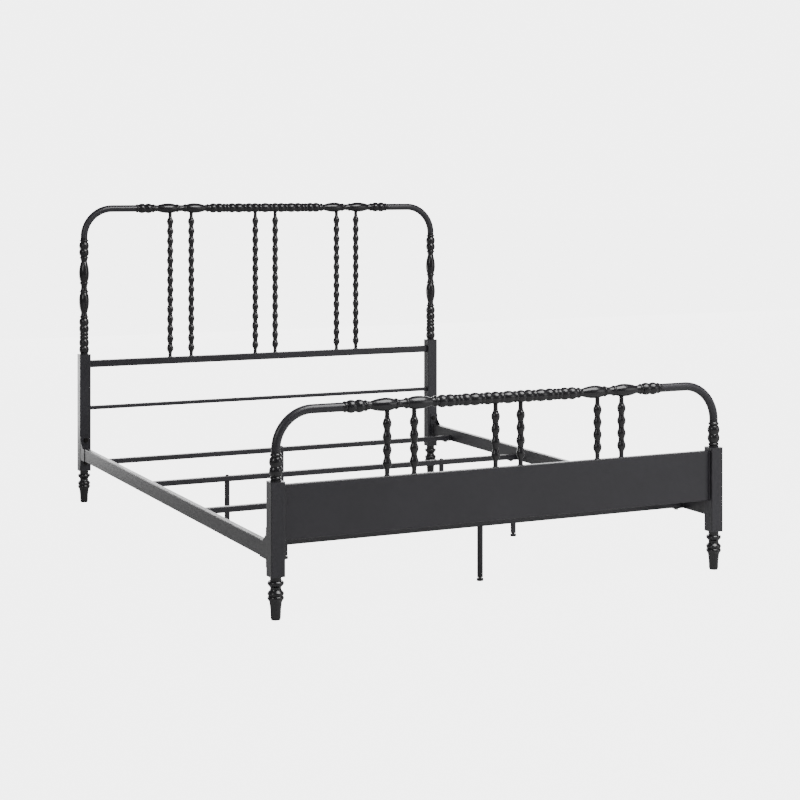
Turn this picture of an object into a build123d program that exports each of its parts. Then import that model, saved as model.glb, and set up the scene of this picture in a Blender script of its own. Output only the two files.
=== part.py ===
from build123d import *
from math import sqrt
import os

# Metal spool bed for a queen mattress. X runs across the bed, with +X on the right seen from its foot.
# Y runs along it, with the head at +Y. Z is up from the floor, and the origin is on the floor under the
# middle of the bed.

# Overall size
bed_width = 1600.2
bed_length = 2143.8
head_height = 1198.9
foot_height = 632.0

# Corner posts of square tube, closed at both ends by a plate
post_side = 44.45
post_wall = 1.8
post_corner = 3.0
post_underside = 127.3
head_hoop_rise = 604.9
foot_hoop_rise = 226.6
end_plate = 3.0
stud_hole = 10.0
stud_play = 0.3
stud_reach = 12.0

# Turned work: the beads, collars and vases that every turned piece is made of
bead_length = 27.0
bead_radius = 20.0
small_bead_length = 14.3
small_bead_radius = 18.2
long_bead_length = 35.0
groove_radius = 16.0
collar_length = 10.0
collar_radius = 17.3
collar_groove = 14.2
step_length = 2.0
sleeve_length = 7.0
inner_neck = 5.8
vase_radius = 20.5
vase_neck = 12.4
vase_rise = 49.0
vase_fall = 31.0
vase_mouth = 14.8
cove_length = 24.5
cove_radius = 12.6
neck_length = 12.0
inner_neck_outside = 7.5

# Bent corner tubes of the head and foot hoops
hoop_radius = 14.0
hoop_wall = 1.5
bend_radius = 115.0
hoop_stub = 1.5
spigot_play = 0.2
rail_spigot = 20.0
column_spigot = 6.0

# Spindles
spindle_places = (44.7, 326.6, 417.3)
spindle_pitch = 40.0
spindle_crest = 13.8
spindle_waist = 9.3
stem_radius = 7.2
stem_shortest = 33.0
stem_plain = 14.0
weld_flare = 1.2
weld_height = 3.0
socket_play = 0.15
socket_end_play = 0.25
socket_short_of_axis = 8.0

# Bars of the headboard
bar_corner = 2.5
upper_bar_below_post_top = 26.0
upper_bar_height = 28.0
upper_bar_depth = 20.0
bar_spacing = 183.0
lower_bar_side = 15.0
bar_wall = 1.4
face_recess = 14.0

# Folded panel of the footboard
panel_below_post_top = 9.9
panel_height = 164.5
panel_depth = 18.0
panel_sheet = 1.5
panel_fold = 3.0
panel_lip = 10.0

# Turned legs under the posts and the pads under them
toe_radius = 15.0
toe_round = 2.0
ankle_radius = 16.0
ankle_height = 30.0
calf_radius = 18.0
calf_height = 46.6
leg_ring_radius = 24.5
leg_ring_groove = 21.2
leg_ring_length = 13.0
leg_ring_start = 57.5
leg_waist_radius = 16.2
leg_top_ring_start = 101.0
leg_neck_radius = 16.8
pad_radius = 13.5
pad_thickness = 3.0
pad_plug_radius = 4.0
pad_plug_length = 12.0
pad_plug_play = 0.2

# Side rails of box tube and the brackets at their ends
rail_top = 223.5
rail_height = 50.0
rail_thickness = 20.0
rail_wall = 1.5
rail_inset = 4.1
bracket_plate = 4.0
bracket_reach_inside = 10.0
bracket_below_rail = 23.5
bracket_above_rail = 44.5
cheek_thickness = 3.0
cheek_length = 50.0
cheek_level = 28.0
cheek_rise = 23.5
upper_bolt_above_rail = 27.5
lower_bolt_below_rail = 11.5

# M8 bolts and weld nuts
bolt_radius = 3.8
bolt_hole_radius = 4.2
nut_bore_radius = 4.0
nut_across_flats = 13.0
nut_height = 6.5
head_height_hex = 5.3
bolt_flange_radius = 9.0
bolt_flange_thickness = 1.6
bolt_past_nut = 2.0

# Slats, their clips and the support legs
slat_side = 20.0
slat_wall = 1.2
slat_corner = 2.4
slat_from_post = 163.45
clip_thickness = 2.5
clip_length = 35.0
clip_width = 24.0
clip_bolt_from_slat_end = 16.0
leg_offset = 445.0
support_radius = 9.5
support_wall = 1.5
plug_length = 26.0
plug_play = 0.15
leg_bolt_length = 42.0
dome_radius = 7.0
dome_height = 4.4
dome_shoulder_radius = 5.9
dome_flat_radius = 3.2
socket_across_flats = 5.0
socket_depth = 2.5

# Levelling glides in the support legs
glide_radius = 11.0
glide_height = 8.0
glide_round = 2.0
glide_stem_radius = 3.7
glide_stem_length = 24.0
glide_gap = 4.0

# Places that follow from the sizes above
post_x = (bed_width - post_side) / 2
post_y = (bed_length - post_side) / 2
inside_width = bed_width - 2 * post_side
inner_post_face = bed_length / 2 - post_side
head_rail_z = head_height - vase_radius
foot_rail_z = foot_height - vase_radius
head_post_top = head_height - head_hoop_rise
foot_post_top = foot_height - foot_hoop_rise
upper_bar_top = head_post_top - upper_bar_below_post_top
lower_bar_top = upper_bar_top - bar_spacing
panel_top = foot_post_top - panel_below_post_top
panel_bottom = panel_top - panel_height
spigot_radius = hoop_radius - hoop_wall - spigot_play
stud_radius = stud_hole / 2 - stud_play
rail_outer_x = bed_width / 2 - rail_inset
rail_inner_x = rail_outer_x - rail_thickness
rail_bottom = rail_top - rail_height
rail_half_length = inner_post_face - bracket_plate
slat_bottom = rail_bottom + clip_thickness
slat_top = slat_bottom + slat_side
slat_end_x = rail_inner_x - clip_thickness
outer_slat_y = inner_post_face - slat_from_post
slat_places = (-outer_slat_y, -outer_slat_y / 3, outer_slat_y / 3, outer_slat_y)
bracket_outer_x = rail_outer_x + cheek_thickness
bracket_inner_x = rail_inner_x - bracket_reach_inside
leg_foot_z = glide_height + glide_gap
leg_plug_radius = support_radius - support_wall - plug_play
nut_corner_radius = nut_across_flats / sqrt(3)
SIDES = {"left": -1, "right": 1}
LEG_PLACES = (
    (0, slat_places[0]),
    (-leg_offset, slat_places[1]),
    (leg_offset, slat_places[1]),
    (-leg_offset, slat_places[2]),
    (leg_offset, slat_places[2]),
    (0, slat_places[3]),
)


def save(part, name):
    """Label a finished piece and write it to its own file."""
    part.label = name
    export_step(part, f"parts/{name}.step")


def level_at(level_end, other_end):
    """Radius halfway along a curve that runs level at one end and reaches the other end's radius."""
    return level_end + (other_end - level_end) / 4


def draw_turning(start, elements):
    """Draw a turned outline element by element from start along the axis, and close it on the axis.

    An element is (length, first radius, halfway radius, last radius). It is a parabola through the three
    radii, or a straight run where the halfway radius is None.
    """
    at = start
    radius = 0
    for length, first, halfway, last in elements:
        if first != radius:
            Line((radius, at), (first, at))
        if halfway is None:
            Line((first, at), (last, at + length))
        else:
            pull = 2 * halfway - (first + last) / 2
            Bezier((first, at), (pull, at + length / 2), (last, at + length))
        at += length
        radius = last
    Line((radius, at), (0, at))
    Line((0, at), (0, start))


def total_length(elements):
    """Length of a run of turned elements."""
    return sum(element[0] for element in elements)


def backwards(elements):
    """The same turned elements seen from the other end."""
    return [(length, last, halfway, first) for length, first, halfway, last in reversed(elements)]


def upright_plane(x, y, z=0):
    """Plane through a vertical axis, with its own Y along that axis."""
    return Plane((x, y, z), x_dir=(1, 0, 0), z_dir=(0, -1, 0))


def tube_section(width, height, wall, corner):
    """Outline of a box tube with rounded corners, for the active sketch."""
    RectangleRounded(width, height, corner)
    RectangleRounded(width - 2 * wall, height - 2 * wall, corner - wall, mode=Mode.SUBTRACT)


# Elements of the turned work. The double vase is the long motif at the middle of each column and
# twice along each top rail.
BEAD = (bead_length, groove_radius, bead_radius, groove_radius)
SMALL_BEAD = (small_bead_length, groove_radius, small_bead_radius, groove_radius)
LONG_BEAD = (long_bead_length, groove_radius, bead_radius, groove_radius)
COLLAR = (collar_length, collar_groove, collar_radius, collar_groove)
STEP = (step_length, collar_groove, None, collar_groove)
SLEEVE = (sleeve_length, hoop_radius, None, hoop_radius)
NECK = (neck_length, collar_groove, None, vase_neck)
VASE = [
    (vase_rise, vase_neck, level_at(vase_radius, vase_neck), vase_radius),
    (vase_fall, vase_radius, level_at(vase_radius, vase_mouth), vase_mouth),
]
COVE = (cove_length, collar_groove, cove_radius, collar_groove)
DOUBLE_VASE = VASE + [COLLAR, COVE, COLLAR] + backwards(VASE)
BEAD_PAIR_END = [COLLAR, STEP, BEAD, BEAD, STEP, COLLAR]


def corner_posts():
    """Four posts of square tube with the bolt holes for the side rail brackets."""
    for end, end_sign, top in (("head", 1, head_post_top), ("foot", -1, foot_post_top)):
        for side, sign in SIDES.items():
            with BuildPart() as post:
                with BuildSketch(Plane.XY.offset(post_underside + end_plate)):
                    with Locations((sign * post_x, end_sign * post_y)):
                        tube_section(post_side, post_side, post_wall, post_corner)
                extrude(amount=top - post_underside - 2 * end_plate)
                with BuildSketch(Plane.XZ.offset(-end_sign * inner_post_face)):
                    with Locations(*[(sign * post_x, z) for z in bracket_bolt_heights()]):
                        Circle(bolt_hole_radius)
                extrude(amount=post_wall * 1.5, both=True, mode=Mode.SUBTRACT)
            save(post.part, f"{end}_post_{side}")


def bracket_bolt_heights():
    """Heights of the two bolts that hold each rail bracket to its post."""
    return (rail_top + upper_bolt_above_rail, rail_bottom - lower_bolt_below_rail)


def post_end_plates():
    """Plates welded over the tops and bottoms of the posts, each with a hole for a stud."""
    with BuildPart() as plates:
        for end_sign, top in ((1, head_post_top), (-1, foot_post_top)):
            for z in (post_underside, top - end_plate):
                with BuildSketch(Plane.XY.offset(z)):
                    with Locations((post_x, end_sign * post_y), (-post_x, end_sign * post_y)):
                        RectangleRounded(post_side, post_side, post_corner)
                        Circle(stud_hole / 2, mode=Mode.SUBTRACT)
                extrude(amount=end_plate)
    save(plates.part, "post_end_plates")


def column(side, end, post_top, rail_z, motif):
    """Turned column that stands on a post, with a stud below and a spigot for the hoop tube above."""
    x = SIDES[side] * post_x
    y = post_y if end == "head" else -post_y
    height = rail_z - bend_radius - hoop_stub - post_top
    base_length = height - total_length(motif)
    base = (base_length, groove_radius, None, groove_radius)
    with BuildPart() as turned:
        with BuildSketch(upright_plane(x, y)):
            with BuildLine():
                draw_turning(post_top, [base] + motif)
            make_face()
        revolve(axis=Axis((x, y, 0), (0, 0, 1)))
        with BuildSketch(Plane.XY.offset(post_top)):
            with Locations((x, y)):
                Circle(stud_radius)
        extrude(amount=-stud_reach)
        with BuildSketch(Plane.XY.offset(post_top + height)):
            with Locations((x, y)):
                Circle(spigot_radius)
        extrude(amount=column_spigot)
    save(turned.part, f"{end}_column_{side}")


def columns():
    """Tall turned columns at the head and short ones at the foot."""
    head_motif = [BEAD, BEAD, SMALL_BEAD, SMALL_BEAD, BEAD, BEAD, STEP, COLLAR, NECK]
    head_motif += DOUBLE_VASE + backwards([NECK]) + BEAD_PAIR_END + [SLEEVE]
    foot_motif = BEAD_PAIR_END + [SLEEVE]
    for side in SIDES:
        column(side, "head", head_post_top, head_rail_z, head_motif)
        column(side, "foot", foot_post_top, foot_rail_z, foot_motif)


def rail_side_elements():
    """Turned elements of one half of a top rail, from beside its middle bead out to its sleeve."""
    inner = [SMALL_BEAD, BEAD, BEAD, SMALL_BEAD, LONG_BEAD, BEAD, SMALL_BEAD, SMALL_BEAD, BEAD, BEAD]
    gap = (inner_neck, collar_groove, None, collar_groove)
    narrow = (inner_neck_outside, collar_groove, None, vase_neck)
    return inner + [gap, COLLAR, narrow] + DOUBLE_VASE + backwards([NECK]) + BEAD_PAIR_END + [SLEEVE]


def rail_half():
    """Distance from the middle of a top rail to the end of its sleeve."""
    return long_bead_length / 2 + total_length(rail_side_elements())


def top_rail(end, y, z):
    """Turned top rail, with a spigot at each end and a blind socket from below for each spindle."""
    side = rail_side_elements()
    half = rail_half()
    along_x = Plane((0, y, z), x_dir=(0, 0, 1), z_dir=(0, 1, 0))
    spigot = [(rail_spigot, spigot_radius, None, spigot_radius)]
    with BuildPart() as rail:
        with BuildSketch(along_x):
            with BuildLine():
                draw_turning(-half - rail_spigot, spigot + backwards(side) + [LONG_BEAD] + side + spigot)
            make_face()
        revolve(axis=Axis((0, y, z), (1, 0, 0)))
        with BuildSketch(Plane.XY.offset(z - socket_short_of_axis)):
            with Locations(*[(sign * place, y) for place in spindle_places for sign in (-1, 1)]):
                Circle(stem_radius + socket_play)
        extrude(amount=-vase_radius, mode=Mode.SUBTRACT)
    save(rail.part, f"{end}_top_rail")


def hoop_bend(end, side, y, rail_z):
    """Bent tube that joins a column to the top rail."""
    sign = SIDES[side]
    column_top = rail_z - bend_radius - hoop_stub
    with BuildPart() as tube:
        with BuildLine(upright_plane(0, y)) as path:
            FilletPolyline(
                (sign * rail_half(), rail_z),
                (sign * post_x, rail_z),
                (sign * post_x, column_top),
                radius=bend_radius,
            )
        with BuildSketch(Plane(origin=path.line @ 0, z_dir=path.line % 0)):
            Circle(hoop_radius)
            Circle(hoop_radius - hoop_wall, mode=Mode.SUBTRACT)
        sweep()
    save(tube.part, f"{end}_bend_{side}")


def hoops():
    """Top rail and bent corner tubes of the headboard and the footboard."""
    for end, y, z in (("head", post_y, head_rail_z), ("foot", -post_y, foot_rail_z)):
        top_rail(end, y, z)
        for side in SIDES:
            hoop_bend(end, side, y, z)


def spindle_elements(length, rail_radius):
    """Turned elements of a spindle that stands length high up to its socket's end."""
    clear = length + socket_end_play + socket_short_of_axis - rail_radius
    count = int((clear - 2 * stem_shortest) // spindle_pitch) + 1
    stem = (clear - (count - 1) * spindle_pitch) / 2
    half_wave = spindle_pitch / 2
    mid_radius = (spindle_crest + spindle_waist) / 2
    crest = (half_wave, mid_radius, spindle_crest, mid_radius)
    waist = (half_wave, mid_radius, spindle_waist, mid_radius)
    swell_length = stem - half_wave / 2 - stem_plain
    swell = (swell_length, stem_radius, level_at(stem_radius, mid_radius), mid_radius)
    flare = (weld_height, stem_radius + weld_flare, None, stem_radius)
    lower = [flare, (stem_plain - weld_height, stem_radius, None, stem_radius), swell]
    upper = [(stem_plain + length - clear, stem_radius, None, stem_radius), swell]
    beads = [crest] + [waist, crest] * (count - 1)
    return lower + beads + backwards(upper)


def spindles():
    """Beaded spindles between the upper bar and the top rail, and between the panel and the foot rail."""
    head = ("head", post_y, upper_bar_top, head_rail_z)
    foot = ("foot", -post_y, panel_top, foot_rail_z)
    places = [-place for place in reversed(spindle_places)] + list(spindle_places)
    for end, y, bottom, rail_z in (head, foot):
        length = rail_z - socket_short_of_axis - socket_end_play - bottom
        elements = spindle_elements(length, bead_radius)
        for number, x in enumerate(places, start=1):
            with BuildPart() as spindle:
                with BuildSketch(upright_plane(x, y)):
                    with BuildLine():
                        draw_turning(bottom, elements)
                    make_face()
                revolve(axis=Axis((x, y, 0), (0, 0, 1)))
            save(spindle.part, f"{end}_spindle_{number}")


def headboard_bars():
    """Upper bar that carries the spindles and the thin bar below it, both between the posts."""
    front = post_y - post_side / 2 + face_recess
    bars = (
        ("head_upper_bar", upper_bar_top, upper_bar_height, upper_bar_depth),
        ("head_lower_bar", lower_bar_top, lower_bar_side, lower_bar_side),
    )
    for name, top, height, depth in bars:
        with BuildPart() as bar:
            with BuildSketch(Plane.YZ.offset(-inside_width / 2)):
                with Locations((front + depth / 2, top - height / 2)):
                    tube_section(depth, height, bar_wall, bar_corner)
            extrude(amount=inside_width)
        save(bar.part, name)


def foot_panel():
    """Sheet steel panel between the foot posts, folded back along its top and bottom edges."""
    middle = panel_bottom + panel_height / 2
    back = -bed_length / 2 + face_recess + panel_depth
    with BuildPart() as panel:
        with BuildSketch(Plane.YZ.offset(-inside_width / 2)):
            with Locations((back - panel_depth / 2, middle)):
                tube_section(panel_depth, panel_height, panel_sheet, panel_fold)
            with Locations((back, middle)):
                Rectangle(2 * panel_fold, panel_height - 2 * panel_lip, mode=Mode.SUBTRACT)
        extrude(amount=inside_width)
    save(panel.part, "foot_panel")


def turned_leg_elements():
    """Turned elements of a leg, from its pad up to the post."""
    ring = (leg_ring_length, leg_ring_groove, leg_ring_radius, leg_ring_groove)
    second_ring = leg_ring_start + leg_ring_length
    waist_start = second_ring + leg_ring_length
    waist_length = leg_top_ring_start - waist_start
    flare_length = leg_ring_start - calf_height
    neck_start = leg_top_ring_start + leg_ring_length
    return [
        (ankle_height - pad_thickness, toe_radius, None, ankle_radius),
        (calf_height - ankle_height, ankle_radius, None, calf_radius),
        (flare_length, calf_radius, level_at(calf_radius, leg_ring_groove), leg_ring_groove),
        ring,
        ring,
        (waist_length, leg_ring_groove, leg_waist_radius, leg_ring_groove),
        ring,
        (post_underside - neck_start, leg_neck_radius, None, leg_neck_radius),
    ]


def turned_legs():
    """Turned legs with a stud up into the post and a bore below for the pad."""
    for end, end_sign in (("head", 1), ("foot", -1)):
        for side, sign in SIDES.items():
            x = sign * post_x
            y = end_sign * post_y
            with BuildPart() as leg:
                with BuildSketch(upright_plane(x, y)):
                    with BuildLine():
                        draw_turning(pad_thickness, turned_leg_elements())
                    make_face()
                revolve(axis=Axis((x, y, 0), (0, 0, 1)))
                fillet(leg.edges().group_by(Axis.Z)[0], toe_round)
                with BuildSketch(Plane.XY.offset(post_underside)):
                    with Locations((x, y)):
                        Circle(stud_radius)
                extrude(amount=stud_reach)
                with BuildSketch(Plane.XY.offset(pad_thickness)):
                    with Locations((x, y)):
                        Circle(pad_plug_radius + pad_plug_play)
                extrude(amount=pad_plug_length + pad_plug_play, mode=Mode.SUBTRACT)
            save(leg.part, f"{end}_turned_leg_{side}")


def turned_leg_pads():
    """Plastic pads plugged into the turned legs."""
    with BuildPart() as pads:
        plug_top = pad_thickness + pad_plug_length
        for radius, height in ((pad_radius, pad_thickness), (pad_plug_radius, plug_top)):
            with BuildSketch():
                with GridLocations(2 * post_x, 2 * post_y, 2, 2):
                    Circle(radius)
            extrude(amount=height)
    save(pads.part, "turned_leg_pads")


def side_rails():
    """Box tube rails from bracket to bracket."""
    for side, sign in SIDES.items():
        with BuildPart() as rail:
            with BuildSketch(Plane.XZ.offset(-rail_half_length)):
                with Locations((sign * (rail_outer_x - rail_thickness / 2), rail_top - rail_height / 2)):
                    tube_section(rail_thickness, rail_height, rail_wall, bar_corner)
            extrude(amount=2 * rail_half_length)
        save(rail.part, f"side_rail_{side}")


def rail_brackets():
    """Steel angles at the rail ends: a plate bolted to the post and a cheek welded outside the rail."""
    plate_top = rail_top + bracket_above_rail
    plate_bottom = rail_bottom - bracket_below_rail
    plate_middle = ((bracket_inner_x + bracket_outer_x) / 2, (plate_top + plate_bottom) / 2)
    with BuildPart() as brackets:
        with BuildSketch(Plane.XZ.offset(-inner_post_face)):
            with Locations(plate_middle):
                Rectangle(bracket_outer_x - bracket_inner_x, plate_top - plate_bottom)
            with Locations(*[(post_x, z) for z in bracket_bolt_heights()]):
                Circle(bolt_hole_radius, mode=Mode.SUBTRACT)
        extrude(amount=bracket_plate)
        with BuildSketch(Plane.YZ.offset(rail_outer_x)):
            with BuildLine():
                Polyline(
                    (inner_post_face, rail_bottom),
                    (rail_half_length - cheek_length, rail_bottom),
                    (rail_half_length - cheek_length, rail_top),
                    (rail_half_length - cheek_level, rail_top),
                    (rail_half_length, rail_top + cheek_rise),
                    (inner_post_face, rail_top + cheek_rise),
                    close=True,
                )
            make_face()
        extrude(amount=cheek_thickness)
        mirror(about=Plane.XZ)
        mirror(about=Plane.YZ)
    save(brackets.part, "rail_brackets")


def rail_bolts():
    """Flanged hex bolts through the bracket plates into the weld nuts in the posts."""
    places = [(post_x, z) for z in bracket_bolt_heights()]
    shank = bracket_plate + post_wall + nut_height + bolt_past_nut
    with BuildPart() as bolts:
        with BuildSketch(Plane.XZ.offset(-rail_half_length)):
            with Locations(*places):
                Circle(bolt_flange_radius)
        extrude(amount=bolt_flange_thickness)
        with BuildSketch(Plane.XZ.offset(-rail_half_length)):
            with Locations(*places):
                RegularPolygon(nut_corner_radius, 6)
        extrude(amount=head_height_hex + bolt_flange_thickness)
        with BuildSketch(Plane.XZ.offset(-rail_half_length)):
            with Locations(*places):
                Circle(bolt_radius)
        extrude(amount=-shank)
        mirror(about=Plane.XZ)
        mirror(about=Plane.YZ)
    save(bolts.part, "rail_bolts")


def weld_nuts():
    """Hex nuts welded inside the posts, behind the brackets, and inside the ends of the slats."""
    with BuildPart() as nuts:
        with BuildSketch(Plane.XZ.offset(-inner_post_face - post_wall)):
            with Locations(*[(post_x, z) for z in bracket_bolt_heights()]):
                RegularPolygon(nut_corner_radius, 6)
                Circle(nut_bore_radius, mode=Mode.SUBTRACT)
        extrude(amount=-nut_height)
        with BuildSketch(Plane.XY.offset(slat_bottom + slat_wall)):
            with Locations(*[(clip_bolt_x(), y) for y in slat_places if y > 0]):
                RegularPolygon(nut_corner_radius, 6)
                Circle(nut_bore_radius, mode=Mode.SUBTRACT)
        extrude(amount=nut_height)
        mirror(about=Plane.XZ)
        mirror(about=Plane.YZ)
    save(nuts.part, "weld_nuts")


def clip_bolt_x():
    """Distance from the middle of the bed to the bolt at a slat's end."""
    return slat_end_x - clip_bolt_from_slat_end


def slats():
    """Square tube slats, drilled for the clip bolts below and for the support leg bolts right through."""
    for number, y in enumerate(reversed(slat_places), start=1):
        leg_xs = [x for x, leg_y in LEG_PLACES if leg_y == y]
        with BuildPart() as slat:
            with BuildSketch(Plane.YZ.offset(-slat_end_x)):
                with Locations((y, slat_bottom + slat_side / 2)):
                    tube_section(slat_side, slat_side, slat_wall, slat_corner)
            extrude(amount=2 * slat_end_x)
            with BuildSketch(Plane.XY.offset(slat_bottom)):
                with Locations((clip_bolt_x(), y), (-clip_bolt_x(), y)):
                    Circle(bolt_hole_radius)
            extrude(amount=2 * slat_wall, both=True, mode=Mode.SUBTRACT)
            with BuildSketch(Plane.XY.offset(slat_bottom)):
                with Locations(*[(x, y) for x in leg_xs]):
                    Circle(bolt_hole_radius)
            extrude(amount=slat_side, mode=Mode.SUBTRACT)
        save(slat.part, f"slat_{number}")


def slat_clips():
    """Steel angles welded to the insides of the rails, which the slat ends lie in."""
    with BuildPart() as clips:
        for y in slat_places:
            with BuildSketch(Plane.XZ.offset(-y - clip_width / 2)):
                with BuildLine():
                    Polyline(
                        (rail_inner_x, rail_bottom),
                        (rail_inner_x, slat_top),
                        (slat_end_x, slat_top),
                        (slat_end_x, slat_bottom),
                        (rail_inner_x - clip_length, slat_bottom),
                        (rail_inner_x - clip_length, rail_bottom),
                        close=True,
                    )
                make_face()
            extrude(amount=clip_width)
        with BuildSketch(Plane.XY.offset(rail_bottom)):
            with Locations(*[(clip_bolt_x(), y) for y in slat_places]):
                Circle(bolt_hole_radius)
        extrude(amount=clip_thickness, mode=Mode.SUBTRACT)
        mirror(about=Plane.YZ)
    save(clips.part, "slat_clips")


def slat_bolts():
    """Hex bolts from below through the clips into the weld nuts in the slats."""
    places = [(sign * clip_bolt_x(), y) for sign in (-1, 1) for y in slat_places]
    shank = clip_thickness + slat_wall + nut_height + bolt_past_nut
    with BuildPart() as bolts:
        with BuildSketch(Plane.XY.offset(rail_bottom)):
            with Locations(*places):
                RegularPolygon(nut_corner_radius, 6)
        extrude(amount=-head_height_hex)
        with BuildSketch(Plane.XY.offset(rail_bottom)):
            with Locations(*places):
                Circle(bolt_radius)
        extrude(amount=shank)
    save(bolts.part, "slat_bolts")


def support_legs():
    """Round tube legs under the slats."""
    for number, place in enumerate(LEG_PLACES, start=1):
        with BuildPart() as leg:
            with BuildSketch(Plane.XY.offset(leg_foot_z)):
                with Locations(place):
                    Circle(support_radius)
                    Circle(support_radius - support_wall, mode=Mode.SUBTRACT)
            extrude(amount=slat_bottom - leg_foot_z)
        save(leg.part, f"support_leg_{number}")


def leg_plugs():
    """Threaded plugs pressed into both ends of each support leg."""
    with BuildPart() as plugs:
        for z in (leg_foot_z, slat_bottom - plug_length):
            with BuildSketch(Plane.XY.offset(z)):
                with Locations(*LEG_PLACES):
                    Circle(leg_plug_radius)
                    Circle(nut_bore_radius, mode=Mode.SUBTRACT)
            extrude(amount=plug_length)
    save(plugs.part, "leg_plugs")


def leg_bolts():
    """Domed socket bolts from the tops of the slats down into the legs."""
    shank = (leg_bolt_length, bolt_radius, None, bolt_radius)
    dome = (dome_height, dome_radius, dome_shoulder_radius, dome_flat_radius)
    with BuildPart() as bolts:
        for x, y in LEG_PLACES:
            with BuildSketch(upright_plane(x, y)):
                with BuildLine():
                    draw_turning(slat_top - leg_bolt_length, [shank, dome])
                make_face()
            revolve(axis=Axis((x, y, 0), (0, 0, 1)))
        with BuildSketch(Plane.XY.offset(slat_top + dome_height)):
            with Locations(*LEG_PLACES):
                RegularPolygon(socket_across_flats / sqrt(3), 6)
        extrude(amount=-socket_depth, mode=Mode.SUBTRACT)
    save(bolts.part, "leg_bolts")


def leg_glides():
    """Levelling glides: a round plastic foot on a threaded stem."""
    for number, place in enumerate(LEG_PLACES, start=1):
        with BuildPart() as glide:
            with BuildSketch():
                with Locations(place):
                    Circle(glide_radius)
            extrude(amount=glide_height)
            fillet(glide.edges().group_by(Axis.Z)[0], glide_round)
            with BuildSketch(Plane.XY.offset(glide_height)):
                with Locations(place):
                    Circle(glide_stem_radius)
            extrude(amount=glide_stem_length)
        save(glide.part, f"leg_glide_{number}")


os.makedirs("parts", exist_ok=True)
corner_posts()
post_end_plates()
columns()
hoops()
spindles()
headboard_bars()
foot_panel()
turned_legs()
turned_leg_pads()
side_rails()
rail_brackets()
rail_bolts()
weld_nuts()
slats()
slat_clips()
slat_bolts()
support_legs()
leg_plugs()
leg_bolts()
leg_glides()
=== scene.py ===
import math

import bmesh
import bpy
from mathutils import Matrix, Vector


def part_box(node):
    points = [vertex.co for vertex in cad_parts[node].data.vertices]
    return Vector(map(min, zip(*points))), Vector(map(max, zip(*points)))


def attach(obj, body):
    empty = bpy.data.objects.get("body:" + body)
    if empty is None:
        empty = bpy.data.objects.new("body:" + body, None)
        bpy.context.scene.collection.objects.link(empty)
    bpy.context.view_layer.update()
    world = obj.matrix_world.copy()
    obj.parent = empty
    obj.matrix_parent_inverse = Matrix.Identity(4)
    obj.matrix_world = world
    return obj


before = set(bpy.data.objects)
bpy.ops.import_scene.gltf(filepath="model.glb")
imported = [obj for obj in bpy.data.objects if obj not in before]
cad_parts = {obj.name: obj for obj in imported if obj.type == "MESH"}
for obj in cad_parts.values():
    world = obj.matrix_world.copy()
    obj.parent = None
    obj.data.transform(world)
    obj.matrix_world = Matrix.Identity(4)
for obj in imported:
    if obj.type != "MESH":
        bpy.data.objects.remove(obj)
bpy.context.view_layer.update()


# The bed is seen from beyond its foot and from the left, at about chest height. The camera looks level, so
# that the posts stay upright in the picture, and is shifted to frame the bed.
PICTURE = 800
FOCAL_PIXELS = 1739.83
CAMERA_PLACE = (-2.6477, -5.8058, 1.2731)
CAMERA_YAW = 0.4459
HORIZON_PIXEL = 185.12
SENSOR = 36.0
FAR_LIMIT = 200

camera = bpy.data.cameras.new("bed_camera")
camera.sensor_width = SENSOR
camera.lens = FOCAL_PIXELS / PICTURE * SENSOR
camera.shift_y = (HORIZON_PIXEL - PICTURE / 2) / PICTURE
camera.clip_end = FAR_LIMIT
camera_object = bpy.data.objects.new("bed_camera", camera)
camera_object.location = CAMERA_PLACE
camera_object.rotation_euler = (math.pi / 2, 0, -CAMERA_YAW)
bpy.context.scene.collection.objects.link(camera_object)
bpy.context.scene.camera = camera_object


# Pale matt floor in a white studio. To the camera both are an even near white, as in a catalogue picture,
# while the light that they cast on the bed is much softer, so that its black coat stays black.
FLOOR_CAST = "#bcbcbc"
FLOOR_SHADED = "#5a5a5a"
FLOOR_RADIUS = 60
FLOOR_SIDES = 96
SURROUND_LIGHT = 0.25
SURROUND_SEEN = 5.0
FLOOR_GLOW_SEEN = 4.9


def linear(code, alpha=1.0):
    """Linear colour of an sRGB hex code."""
    values = [int(code[i:i + 2], 16) / 255 for i in (1, 3, 5)]
    return tuple(v / 12.92 if v <= 0.04045 else ((v + 0.055) / 1.055) ** 2.4 for v in values) + (alpha,)


def add_node(tree, kind, settings=None, inputs=None):
    """Add a shader node with its settings, and its inputs as values or as links from other sockets."""
    node = tree.nodes.new(kind)
    for name, value in (settings or {}).items():
        setattr(node, name, value)
    for name, value in (inputs or {}).items():
        if isinstance(value, bpy.types.NodeSocket):
            tree.links.new(value, node.inputs[name])
        else:
            node.inputs[name].default_value = value
    return node


def new_material(name):
    """An empty node material and its tree."""
    material = bpy.data.materials.new(name)
    material.use_nodes = True
    material.node_tree.nodes.clear()
    return material, material.node_tree


floor_material, tree = new_material("matt_studio_floor")
matt = add_node(tree, "ShaderNodeBsdfDiffuse", inputs={"Color": linear(FLOOR_CAST)})
shaded = add_node(tree, "ShaderNodeBsdfDiffuse", inputs={"Color": linear(FLOOR_SHADED)})
glow = add_node(tree, "ShaderNodeEmission", inputs={
    "Color": linear("#ffffff"), "Strength": FLOOR_GLOW_SEEN})
white_seen = add_node(tree, "ShaderNodeAddShader")
tree.links.new(shaded.outputs["BSDF"], white_seen.inputs[0])
tree.links.new(glow.outputs["Emission"], white_seen.inputs[1])
seen = add_node(tree, "ShaderNodeLightPath").outputs["Is Camera Ray"]
floor_shader = add_node(tree, "ShaderNodeMixShader", inputs={"Fac": seen})
tree.links.new(matt.outputs["BSDF"], floor_shader.inputs[1])
tree.links.new(white_seen.outputs["Shader"], floor_shader.inputs[2])
add_node(tree, "ShaderNodeOutputMaterial", inputs={"Surface": floor_shader.outputs["Shader"]})

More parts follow.
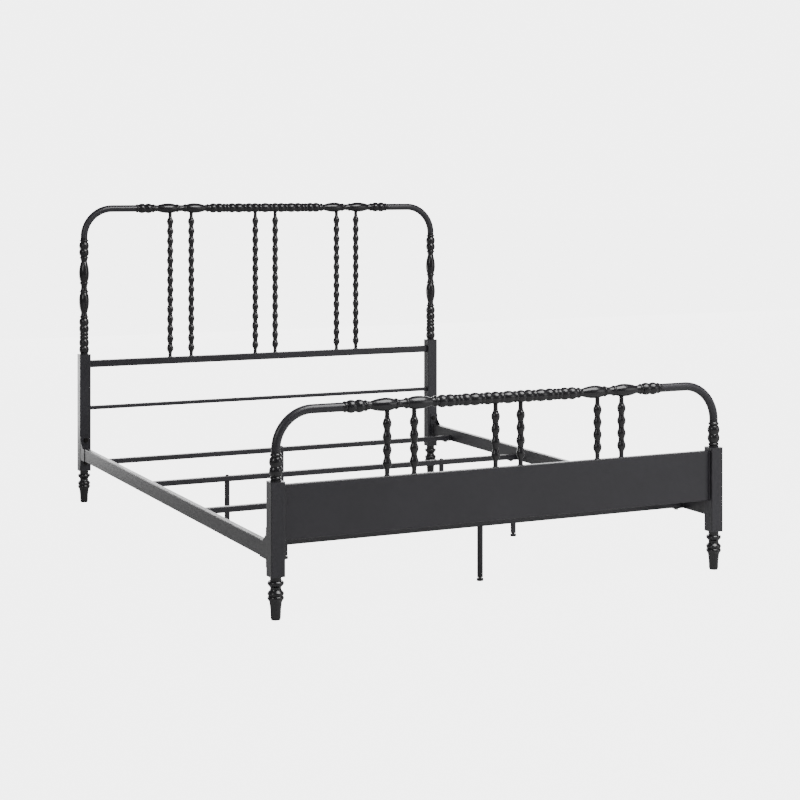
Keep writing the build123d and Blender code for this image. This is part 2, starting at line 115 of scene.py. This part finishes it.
mesh = bmesh.new()
bmesh.ops.create_circle(mesh, cap_ends=True, segments=FLOOR_SIDES, radius=FLOOR_RADIUS)
floor_mesh = bpy.data.meshes.new("studio_floor")
mesh.to_mesh(floor_mesh)
mesh.free()
floor_mesh.materials.append(floor_material)
studio_floor = bpy.data.objects.new("studio_floor", floor_mesh)
bpy.context.scene.collection.objects.link(studio_floor)

world = bpy.data.worlds.new("white_surround")
world.use_nodes = True
world.node_tree.nodes.clear()
seen = add_node(world.node_tree, "ShaderNodeLightPath").outputs["Is Camera Ray"]
brightness = add_node(world.node_tree, "ShaderNodeMapRange", inputs={
    "Value": seen, "To Min": SURROUND_LIGHT, "To Max": SURROUND_SEEN})
background = add_node(world.node_tree, "ShaderNodeBackground", inputs={
    "Color": linear("#ffffff"), "Strength": brightness.outputs["Result"]})
add_node(world.node_tree, "ShaderNodeOutputWorld", inputs={"Surface": background.outputs["Background"]})
bpy.context.scene.world = world


# Studio lights. A tall white wall stands behind the head of the bed and lights the tops of the rails. The
# front box lights the floor that the panel mirrors, and a low card the head end of the left rail.
def softbox(name, place, target, width, height, brightness):
    """A rectangular studio light that faces a target, of an even brightness over its face."""
    light = bpy.data.lights.new(name, "AREA")
    light.shape = "RECTANGLE"
    light.size = width
    light.size_y = height
    light.energy = brightness * width * height * math.pi
    box = bpy.data.objects.new(name, light)
    box.location = place
    box.rotation_euler = (Vector(target) - Vector(place)).to_track_quat("-Z", "Y").to_euler()
    box.visible_camera = False
    bpy.context.scene.collection.objects.link(box)


softbox("back_wall", (4.4, 8.5, 2.0), (4.4, 0, 2.0), 11.0, 4.0, 5.5)
softbox("front_box", (1.2, -2.8, 4.0), (1.0, -1.8, 0), 3.0, 3.0, 11.0)
softbox("left_box", (-4.5, -2.5, 2.6), (0, 0, 0.5), 1.4, 1.8, 5.5)
softbox("right_box", (5.0, -5.0, 1.8), (0, 0, 0.6), 4.0, 3.0, 1.8)
softbox("low_card", (-1.6, 2.5, 0.45), (-0.8, 1.1, 0.25), 0.9, 0.8, 7.0)


# Posts, hoop bends, bars, panel, rails, slats and support legs are steel tube and sheet, welded, blasted and
# coated with baked black polyester powder, which gives a satin charcoal with a fine orange peel.
COATED_STEEL = ("post", "bend", "bar", "panel", "side_rail", "rail_brackets", "slat", "clips", "support_leg")
STEEL_DARK = "#1e1d21"
STEEL_LIGHT = "#27262b"
STEEL_ROUGHNESS = 0.36
STEEL_PEEL = 0.16
PEEL_DEPTH = 0.0002
GLOSS_SPREAD = 0.04
COAT_IOR = 1.5
PEEL_MM = 2.6           # a real peel is about 1 mm, drawn coarser to show
CLOUD_MM = 160.0
SPECK_MM = 1.1          # real specks are 0.2 mm, drawn coarser to show
SPECK_GREY = "#4c4c4f"
SPECK_START = 0.64
SPECK_FULL = 0.76
SPECK_SHARE = 0.3


def powder_coat(name, dark, light, roughness, peel_strength):
    """Baked black powder: orange peel in its relief, clouds in its tone and gloss, and a few grey specks."""
    material, tree = new_material(name)
    place = add_node(tree, "ShaderNodeTexCoord").outputs["Object"]
    peel = add_node(tree, "ShaderNodeTexNoise", inputs={
        "Vector": place, "Scale": 1000 / PEEL_MM, "Detail": 2.0})
    speck = add_node(tree, "ShaderNodeTexNoise", inputs={
        "Vector": place, "Scale": 1000 / SPECK_MM, "Detail": 1.0})
    cloud = add_node(tree, "ShaderNodeTexNoise", inputs={
        "Vector": place, "Scale": 1000 / CLOUD_MM, "Detail": 4.0})
    tint = add_node(tree, "ShaderNodeMix", {"data_type": "RGBA"})
    tree.links.new(cloud.outputs["Fac"], tint.inputs[0])
    tint.inputs[6].default_value = linear(dark)
    tint.inputs[7].default_value = linear(light)
    specks = add_node(tree, "ShaderNodeMapRange", inputs={
        "Value": speck.outputs["Fac"], "From Min": SPECK_START, "From Max": SPECK_FULL,
        "To Min": 0.0, "To Max": SPECK_SHARE})
    coat = add_node(tree, "ShaderNodeMix", {"data_type": "RGBA"})
    tree.links.new(specks.outputs["Result"], coat.inputs[0])
    tree.links.new(tint.outputs[2], coat.inputs[6])
    coat.inputs[7].default_value = linear(SPECK_GREY)
    gloss = add_node(tree, "ShaderNodeMapRange", inputs={
        "Value": cloud.outputs["Fac"], "From Min": 0.3, "From Max": 0.7,
        "To Min": roughness - GLOSS_SPREAD, "To Max": roughness + GLOSS_SPREAD})
    bump = add_node(tree, "ShaderNodeBump", inputs={
        "Height": peel.outputs["Fac"], "Strength": peel_strength, "Distance": PEEL_DEPTH})
    shader = add_node(tree, "ShaderNodeBsdfPrincipled", inputs={
        "Base Color": coat.outputs[2], "Roughness": gloss.outputs["Result"], "Normal": bump.outputs["Normal"],
        "IOR": COAT_IOR})
    add_node(tree, "ShaderNodeOutputMaterial", inputs={"Surface": shader.outputs["BSDF"]})
    return material


def finish_nodes(words, material):
    """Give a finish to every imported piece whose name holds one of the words."""
    for name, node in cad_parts.items():
        if any(word in name for word in words):
            node.data.materials.clear()
            node.data.materials.append(material)


steel_coat = powder_coat("satin_black_powder_coat_on_welded_steel", STEEL_DARK, STEEL_LIGHT,
                         STEEL_ROUGHNESS, STEEL_PEEL)
finish_nodes(COATED_STEEL, steel_coat)


# Columns, top rails, spindles and turned legs are smooth castings under the same powder, which flows out
# more on their curves. They are a little blacker and glossier, with small bright lights on every bead.
TURNED_WORK = ("column", "top_rail", "spindle", "turned_leg_")
TURNED_DARK = "#111013"
TURNED_LIGHT = "#18171a"
TURNED_ROUGHNESS = 0.22
TURNED_PEEL = 0.12

turned_coat = powder_coat("semi_gloss_black_powder_coat_on_castings", TURNED_DARK, TURNED_LIGHT,
                          TURNED_ROUGHNESS, TURNED_PEEL)
finish_nodes(TURNED_WORK, turned_coat)


# Welds join the spindles, bars and panel to what carries them, the rails to their brackets and the clips to
# the rails. Each is a small rippled bead laid by hand and coated over with the rest of the frame.
RING_RADIUS = 0.0080
RING_BEAD = 0.0015
RIPPLE_PITCH = 0.0024
RIPPLE = 0.12
BEAD_SIDES = 8
STEPS_PER_RIPPLE = 4
FEWEST_STEPS = 6
END_THICKNESS = 0.4
TAPER_BEADS = 1.5
BAR_BEAD = 0.0018
PANEL_BEAD = 0.0020
RAIL_BEAD = 0.0024
CLIP_BEAD = 0.0014
PANEL_CORNER = 0.003
BAR_CORNER = 0.0025
CHEEK_LENGTH = 0.050
CLIP_WIDTH = 0.024
CLIP_HEIGHT = 0.0225


def weld_ring(mesh, centre, bar_middle, flat_half, corner):
    """A rippled bead round a spindle's foot, settled onto the rounded edges of the bar under it."""
    upright = Matrix.Translation(centre + Vector((RING_RADIUS, 0, 0))) @ Matrix.Rotation(math.pi / 2, 4, "X")
    profile = bmesh.ops.create_circle(mesh, segments=BEAD_SIDES, radius=RING_BEAD, matrix=upright)["verts"]
    edges = list({edge for vert in profile for edge in vert.link_edges})
    steps = round(2 * math.pi * RING_RADIUS / RIPPLE_PITCH) * STEPS_PER_RIPPLE
    before = set(mesh.verts) - set(profile)
    bmesh.ops.spin(mesh, geom=profile + edges, cent=centre, axis=(0, 0, 1), angle=2 * math.pi, steps=steps,
                   use_merge=True)
    ripples = steps / STEPS_PER_RIPPLE
    for vert in set(mesh.verts) - before:
        out = vert.co - centre
        angle = math.atan2(out.y, out.x)
        middle = centre + Vector((math.cos(angle), math.sin(angle), 0)) * RING_RADIUS
        vert.co = middle + (vert.co - middle) * (1 + RIPPLE * math.sin(ripples * angle))
        beyond = min(max(0.0, abs(vert.co.y - bar_middle) - flat_half), corner)
        vert.co.z -= corner - math.sqrt(corner ** 2 - beyond ** 2)


def weld_run(mesh, start, end, bead):
    """A straight rippled bead along a joint, thinner at both ends."""
    start = Vector(start)
    run = Vector(end) - start
    length = run.length
    along = run.normalized()
    steps = max(FEWEST_STEPS, round(length / RIPPLE_PITCH * STEPS_PER_RIPPLE))
    turn = along.to_track_quat("Z", "Y").to_matrix().to_4x4()
    before = set(mesh.verts)
    place = Matrix.Translation(start) @ turn
    verts = bmesh.ops.create_circle(mesh, segments=BEAD_SIDES, radius=bead, matrix=place)["verts"]
    edges = list({edge for vert in verts for edge in vert.link_edges})
    bmesh.ops.spin(mesh, geom=verts + edges, cent=start, axis=along, dvec=run / steps, angle=0, steps=steps)
    for vert in set(mesh.verts) - before:
        at = (vert.co - start).dot(along)
        middle = start + along * at
        taper = min(1.0, END_THICKNESS + min(at, length - at) / (TAPER_BEADS * bead))
        ripple = 1 + RIPPLE * math.sin(2 * math.pi * at / RIPPLE_PITCH)
        vert.co = middle + (vert.co - middle) * taper * ripple


def add_piece(name, mesh, material):
    """Close a mesh, smooth it and make it a piece of its own."""
    bmesh.ops.holes_fill(mesh, edges=mesh.edges, sides=BEAD_SIDES)
    bmesh.ops.recalc_face_normals(mesh, faces=mesh.faces)
    for face in mesh.faces:
        face.smooth = True
    data = bpy.data.meshes.new(name)
    mesh.to_mesh(data)
    mesh.free()
    data.materials.append(material)
    piece = bpy.data.objects.new(name, data)
    bpy.context.scene.collection.objects.link(piece)
    return piece


def weld_frame_end(mesh, node, bead, corner, sides):
    """Beads round both ends of a bar, along the named sides of its section."""
    low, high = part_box(node)
    for x in (low[0], high[0]):
        runs = {
            "top": ((x, low[1] + corner, high[2]), (x, high[1] - corner, high[2])),
            "bottom": ((x, low[1] + corner, low[2]), (x, high[1] - corner, low[2])),
            "front": ((x, low[1], low[2] + corner), (x, low[1], high[2] - corner)),
            "back": ((x, high[1], low[2] + corner), (x, high[1], high[2] - corner)),
        }
        for side in sides:
            weld_run(mesh, *runs[side], bead)


for end, carrier, corner in (("head", "head_upper_bar", BAR_CORNER), ("foot", "foot_panel", PANEL_CORNER)):
    low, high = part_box(carrier)
    middle = (low[1] + high[1]) / 2
    mesh = bmesh.new()
    for number in range(1, 7):
        foot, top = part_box(f"{end}_spindle_{number}")
        centre = Vector(((foot[0] + top[0]) / 2, (foot[1] + top[1]) / 2, foot[2]))
        weld_ring(mesh, centre, middle, (high[1] - low[1]) / 2 - corner, corner)
    piece = add_piece(f"{end}_spindle_welds", mesh, steel_coat)
    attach(piece, "bed_frame")

mesh = bmesh.new()
weld_frame_end(mesh, "head_upper_bar", BAR_BEAD, BAR_CORNER, ("top", "bottom", "front", "back"))
weld_frame_end(mesh, "head_lower_bar", BAR_BEAD, BAR_CORNER, ("top", "bottom", "front", "back"))
piece = add_piece("head_bar_welds", mesh, steel_coat)
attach(piece, "bed_frame")

mesh = bmesh.new()
weld_frame_end(mesh, "foot_panel", PANEL_BEAD, PANEL_CORNER, ("top", "bottom", "front"))
piece = add_piece("foot_panel_welds", mesh, steel_coat)
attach(piece, "bed_frame")

mesh = bmesh.new()
for side, sign in (("left", -1), ("right", 1)):
    low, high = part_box(f"side_rail_{side}")
    outer, inner = (low[0], high[0]) if sign < 0 else (high[0], low[0])
    for end_y, end_sign in ((low[1], -1), (high[1], 1)):
        bottom, top = low[2] + BAR_CORNER, high[2] - BAR_CORNER
        weld_run(mesh, (inner, end_y, bottom), (inner, end_y, top), RAIL_BEAD)
        for z in (low[2], high[2]):
            start = (inner + sign * BAR_CORNER, end_y, z)
            weld_run(mesh, start, (outer - sign * BAR_CORNER, end_y, z), RAIL_BEAD)
        cheek_end = end_y - end_sign * CHEEK_LENGTH
        weld_run(mesh, (outer, cheek_end, bottom), (outer, cheek_end, top), RAIL_BEAD)
piece = add_piece("rail_bracket_welds", mesh, steel_coat)
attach(piece, "bed_frame")

mesh = bmesh.new()
for number in range(1, 5):
    slat_low, slat_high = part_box(f"slat_{number}")
    middle = (slat_low[1] + slat_high[1]) / 2
    for side, sign in (("left", -1), ("right", 1)):
        low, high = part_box(f"side_rail_{side}")
        inner = high[0] if sign < 0 else low[0]
        bottom, top = low[2] + 2 * CLIP_BEAD, low[2] + CLIP_HEIGHT - CLIP_BEAD
        for y in (middle - CLIP_WIDTH / 2, middle + CLIP_WIDTH / 2):
            weld_run(mesh, (inner, y, bottom), (inner, y, top), CLIP_BEAD)
piece = add_piece("slat_clip_welds", mesh, steel_coat)
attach(piece, "bed_frame")


# The bolts in view are steel, blacked by hot oxide and oiled. They look darker than the coat around them,
# with a dull metallic edge and a faint brown mottle.
BLACKED_BOLTS = ("rail_bolts", "leg_bolts")
OXIDE_DARK = "#1a1a1b"
OXIDE_WARM = "#2b2826"
OXIDE_MOTTLE_MM = 3.5
OXIDE_METAL = 0.75
OXIDE_SMOOTHEST = 0.3
OXIDE_DULLEST = 0.5

oxide, tree = new_material("black_oxide_bolt_steel")
place = add_node(tree, "ShaderNodeTexCoord").outputs["Object"]
mottle = add_node(tree, "ShaderNodeTexNoise", inputs={
    "Vector": place, "Scale": 1000 / OXIDE_MOTTLE_MM, "Detail": 3.0}).outputs["Fac"]
tone = add_node(tree, "ShaderNodeMix", {"data_type": "RGBA"})
tree.links.new(mottle, tone.inputs[0])
tone.inputs[6].default_value = linear(OXIDE_DARK)
tone.inputs[7].default_value = linear(OXIDE_WARM)
dullness = add_node(tree, "ShaderNodeMapRange", inputs={
    "Value": mottle, "To Min": OXIDE_SMOOTHEST, "To Max": OXIDE_DULLEST})
shader = add_node(tree, "ShaderNodeBsdfPrincipled", inputs={
    "Base Color": tone.outputs[2], "Metallic": OXIDE_METAL, "Roughness": dullness.outputs["Result"]})
add_node(tree, "ShaderNodeOutputMaterial", inputs={"Surface": shader.outputs["BSDF"]})
finish_nodes(BLACKED_BOLTS, oxide)


# Nuts, slat bolts and the threaded plugs in the support legs are zinc plated steel. The passivated zinc is
# a pale blue grey with cloudy patches and fine drawn lines.
PLATED_HARDWARE = ("weld_nuts", "slat_bolts", "leg_plugs")
ZINC_BLUE = "#a9b0b8"
ZINC_STRAW = "#bdb9a8"
ZINC_PATCH_MM = 6.0
ZINC_LINE_MM = 0.6
ZINC_LINE_STRENGTH = 0.1
ZINC_LINE_DEPTH = 0.0001
ZINC_SMOOTHEST = 0.28
ZINC_DULLEST = 0.46

zinc, tree = new_material("blue_passivated_zinc_plate")
place = add_node(tree, "ShaderNodeTexCoord").outputs["Object"]
patches = add_node(tree, "ShaderNodeTexNoise", inputs={
    "Vector": place, "Scale": 1000 / ZINC_PATCH_MM, "Detail": 3.0}).outputs["Fac"]
tone = add_node(tree, "ShaderNodeMix", {"data_type": "RGBA"})
tree.links.new(patches, tone.inputs[0])
tone.inputs[6].default_value = linear(ZINC_BLUE)
tone.inputs[7].default_value = linear(ZINC_STRAW)
lines = add_node(tree, "ShaderNodeTexNoise", inputs={
    "Vector": place, "Scale": 1000 / ZINC_LINE_MM, "Detail": 1.0}).outputs["Fac"]
drawn = add_node(tree, "ShaderNodeBump", inputs={
    "Height": lines, "Strength": ZINC_LINE_STRENGTH, "Distance": ZINC_LINE_DEPTH})
dullness = add_node(tree, "ShaderNodeMapRange", inputs={
    "Value": patches, "To Min": ZINC_SMOOTHEST, "To Max": ZINC_DULLEST})
shader = add_node(tree, "ShaderNodeBsdfPrincipled", inputs={
    "Base Color": tone.outputs[2], "Metallic": 1.0, "Roughness": dullness.outputs["Result"],
    "Normal": drawn.outputs["Normal"]})
add_node(tree, "ShaderNodeOutputMaterial", inputs={"Surface": shader.outputs["BSDF"]})
finish_nodes(PLATED_HARDWARE, zinc)


# The pads under the turned legs and the levelling glides are injection moulded black polypropylene. The
# mould's spark texture gives them a fine even grain and a soft sheen.
MOULDED_FEET = ("turned_leg_pads", "leg_glide")
PLASTIC_BLACK = "#17171a"
PLASTIC_RUBBED = "#26262a"
GRAIN_MM = 0.9          # spark grain is about 0.1 mm, drawn coarser to show
RUB_MM = 14.0
GRAIN_STRENGTH = 0.3
GRAIN_DEPTH = 0.0001
PLASTIC_ROUGHNESS = 0.52
PLASTIC_IOR = 1.49

plastic, tree = new_material("moulded_black_polypropylene")
place = add_node(tree, "ShaderNodeTexCoord").outputs["Object"]
rub = add_node(tree, "ShaderNodeTexNoise", inputs={
    "Vector": place, "Scale": 1000 / RUB_MM, "Detail": 3.0}).outputs["Fac"]
tone = add_node(tree, "ShaderNodeMix", {"data_type": "RGBA"})
tree.links.new(rub, tone.inputs[0])
tone.inputs[6].default_value = linear(PLASTIC_BLACK)
tone.inputs[7].default_value = linear(PLASTIC_RUBBED)
grain = add_node(tree, "ShaderNodeTexNoise", inputs={
    "Vector": place, "Scale": 1000 / GRAIN_MM, "Detail": 2.0}).outputs["Fac"]
relief = add_node(tree, "ShaderNodeBump", inputs={
    "Height": grain, "Strength": GRAIN_STRENGTH, "Distance": GRAIN_DEPTH})
shader = add_node(tree, "ShaderNodeBsdfPrincipled", inputs={
    "Base Color": tone.outputs[2], "Roughness": PLASTIC_ROUGHNESS, "IOR": PLASTIC_IOR,
    "Normal": relief.outputs["Normal"]})
add_node(tree, "ShaderNodeOutputMaterial", inputs={"Surface": shader.outputs["BSDF"]})
finish_nodes(MOULDED_FEET, plastic)


# Each glide screws into its leg by a plated M8 stud moulded into the foot. The part of the stud that shows
# as the glide is wound out carries a rolled thread of 1.25 mm pitch.
THREAD_CORE = 0.00374
THREAD_CREST = 0.00395
THREAD_PITCH = 0.00125
THREAD_LENGTH = 0.0105
THREAD_STEPS = 24
RIDGE_SIDES = 4
GLIDE_HEIGHT = 0.008

for number in range(1, 7):
    low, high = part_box(f"leg_glide_{number}")
    foot = Vector(((low[0] + high[0]) / 2, (low[1] + high[1]) / 2, low[2] + GLIDE_HEIGHT))
    mesh = bmesh.new()
    middle = foot + Vector((0, 0, THREAD_LENGTH / 2))
    bmesh.ops.create_cone(mesh, cap_ends=True, segments=THREAD_STEPS, radius1=THREAD_CORE,
                          radius2=THREAD_CORE, depth=THREAD_LENGTH, matrix=Matrix.Translation(middle))
    ridge = Matrix.Translation(foot + Vector((THREAD_CORE, 0, THREAD_PITCH / 2)))
    ridge = ridge @ Matrix.Rotation(math.pi / 2, 4, "X")
    section = bmesh.ops.create_circle(mesh, segments=RIDGE_SIDES, radius=THREAD_CREST - THREAD_CORE,
                                      matrix=ridge)["verts"]
    edges = list({edge for vert in section for edge in vert.link_edges})
    turns = THREAD_LENGTH / THREAD_PITCH - 1
    steps = round(turns * THREAD_STEPS)
    bmesh.ops.spin(mesh, geom=section + edges, cent=foot, axis=(0, 0, 1), angle=2 * math.pi * turns,
                   steps=steps, dvec=(0, 0, THREAD_PITCH * turns / steps))
    piece = add_piece(f"glide_{number}_thread", mesh, zinc)
    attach(piece, f"glide_{number}")
